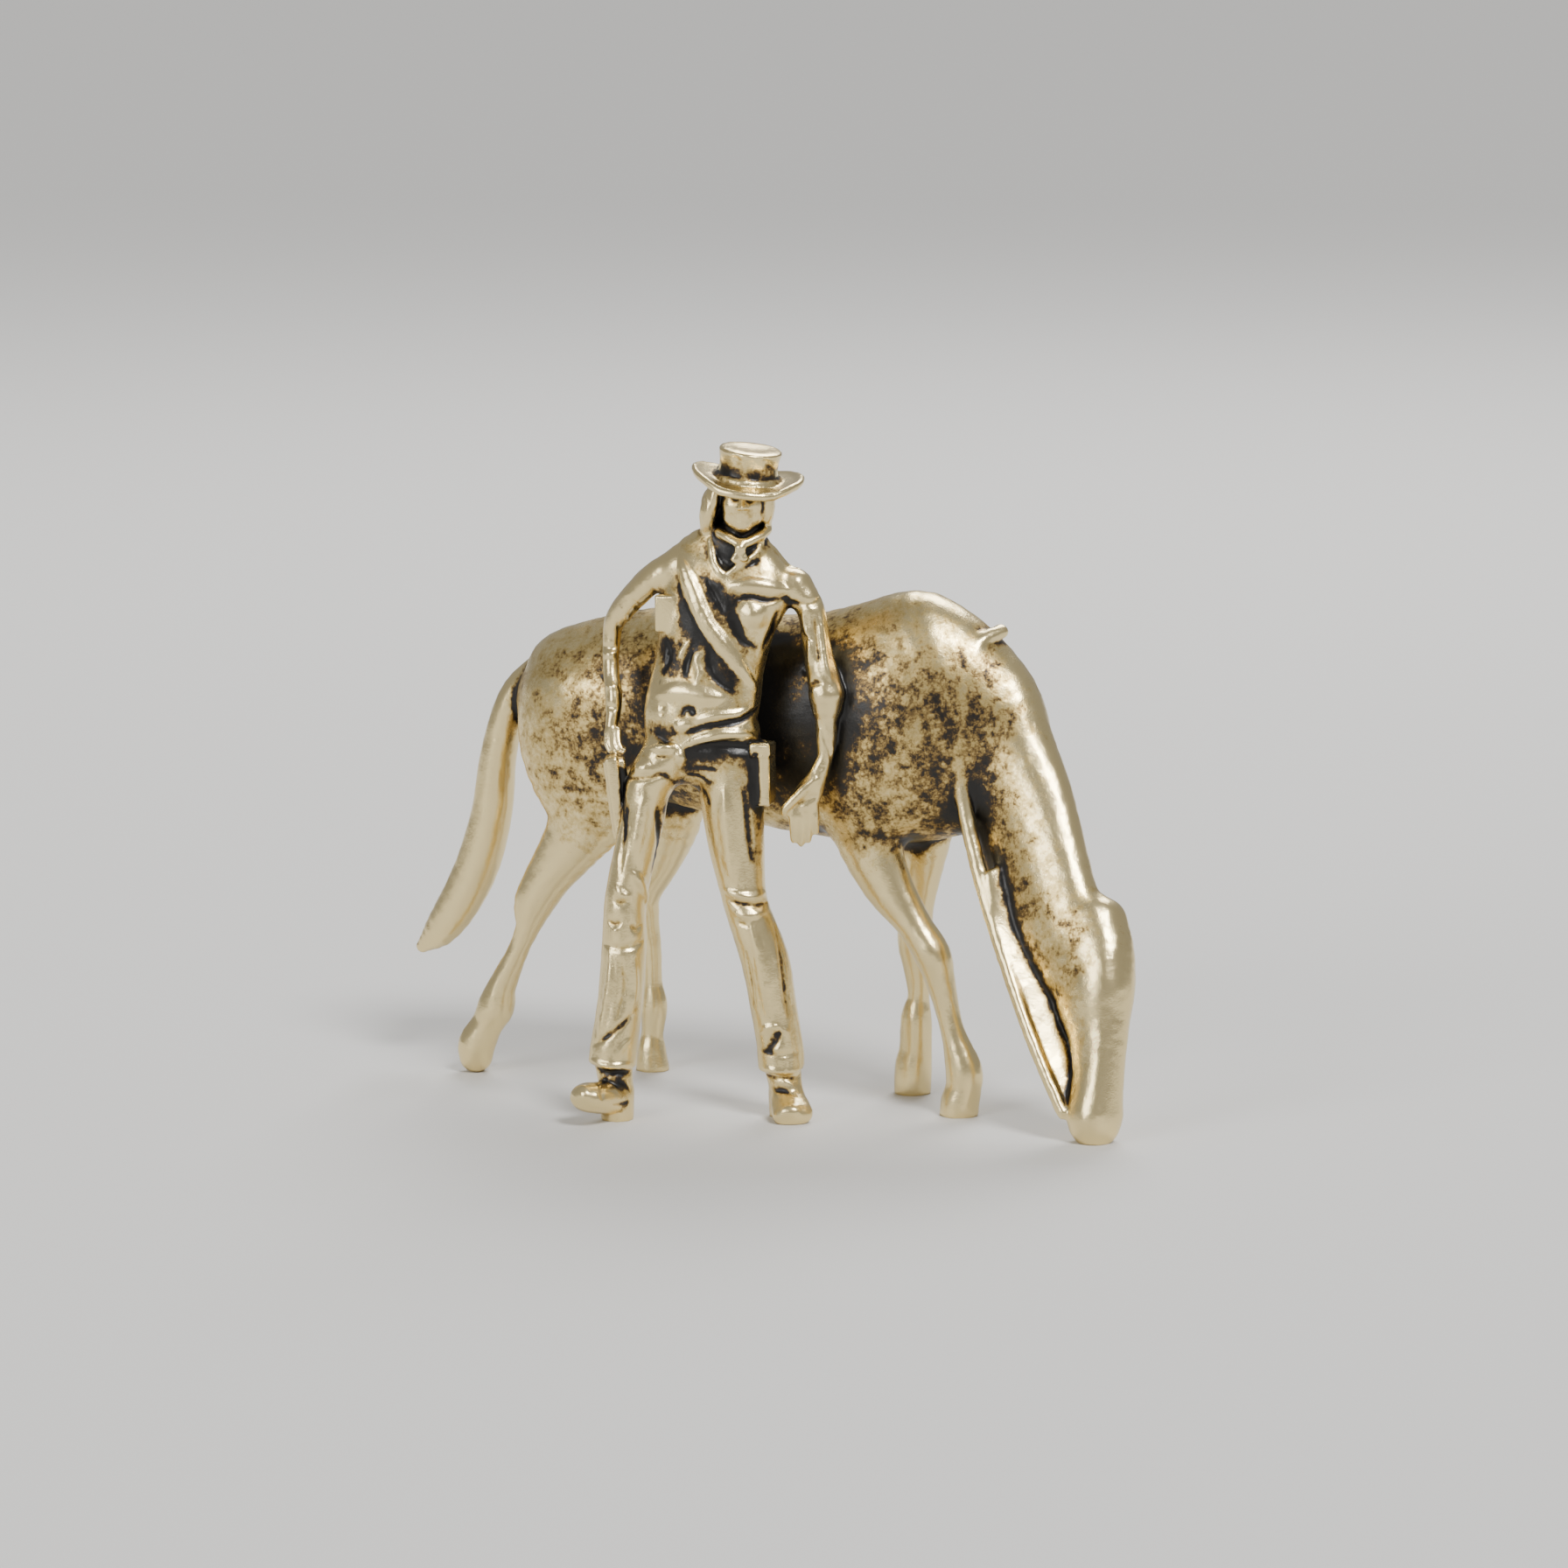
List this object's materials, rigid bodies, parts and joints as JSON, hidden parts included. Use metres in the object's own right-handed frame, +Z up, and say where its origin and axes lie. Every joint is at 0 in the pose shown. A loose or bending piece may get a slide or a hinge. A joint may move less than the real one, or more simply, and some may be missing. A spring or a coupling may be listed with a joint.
{
  "type": "horseman figurine",
  "caption": "Small solid brass figurine of a standing rider in a brimmed hat who leans back on his grazing horse, dark in the hollows and worn bright on the high spots.",
  "frame": {"origin": "middle of the footprint on the surface that the figurine stands on", "axes": "+Z up, +X along the figurine's length towards the horse's head, +Y from the rider's front towards the horse's far side"},
  "size_m": [0.0416, 0.0265, 0.0379],
  "materials": {
    "antique_brass": "antiqued: near-black patina in the hollows, worn to polished pale brass on the high spots"
  },
  "bodies": {
    "root": {"horseman_casting": "antique_brass"}
  },
  "joints": []
}
